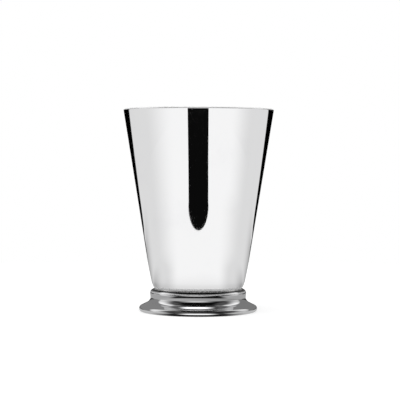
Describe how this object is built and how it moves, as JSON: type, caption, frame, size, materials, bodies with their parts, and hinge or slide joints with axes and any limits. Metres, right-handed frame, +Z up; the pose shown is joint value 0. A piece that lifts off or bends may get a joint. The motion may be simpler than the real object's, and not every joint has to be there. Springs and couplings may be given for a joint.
{
  "type": "julep cup",
  "caption": "Polished metal julep cup: a tapered beaker with a rounded lip, soldered into a low foot ring with a bead and a hollow moulding.",
  "frame": {"origin": "middle of the foot's standing ring, on the table", "axes": "+Z up along the cup's axis; the cup is round, so +X and +Y are free"},
  "size_m": [0.0818, 0.0818, 0.1104],
  "materials": {
    "polished_steel": "mirror polished stainless steel",
    "foot_steel": "spun stainless steel, mirror polished outside",
    "silver_solder": "silver solder, wiped and buffed"
  },
  "bodies": {
    "root": {"cup_body": "polished_steel", "foot_ring": "foot_steel", "solder_seam": "silver_solder"}
  },
  "joints": []
}
